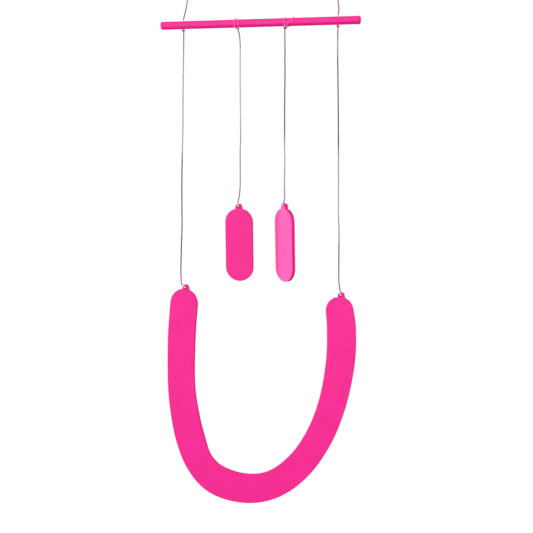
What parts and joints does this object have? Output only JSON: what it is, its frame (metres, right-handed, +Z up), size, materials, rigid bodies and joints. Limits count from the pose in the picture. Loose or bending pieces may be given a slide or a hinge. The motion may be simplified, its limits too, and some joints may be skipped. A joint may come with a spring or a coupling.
{
  "type": "hanging mobile sculpture",
  "caption": "Hanging mobile: a straight rod, hung from loops of line, carries upright round-ended eye plates and a wide U-shaped smile plate on thin line.",
  "frame": {"origin": "midway between the two hanging loops, at the height where a hook bears on the inside of each loop's top", "axes": "+X along the rod to the right as seen from the front, -Y out of the plates' flat fronts, +Z up"},
  "size_m": [0.2623, 0.0273, 0.6975],
  "materials": {
    "pink_paint": "bright pink satin paint, even and opaque, on all faces and edges",
    "nylon_line": "mauve-grey nylon line, a little cloudy along its length"
  },
  "bodies": {
    "root": {"rod": "pink_paint", "left_eye": "pink_paint", "right_eye": "pink_paint", "smile": "pink_paint", "left_line": "nylon_line", "right_line": "nylon_line", "left_eye_line": "nylon_line", "right_eye_line": "nylon_line"}
  },
  "joints": []
}
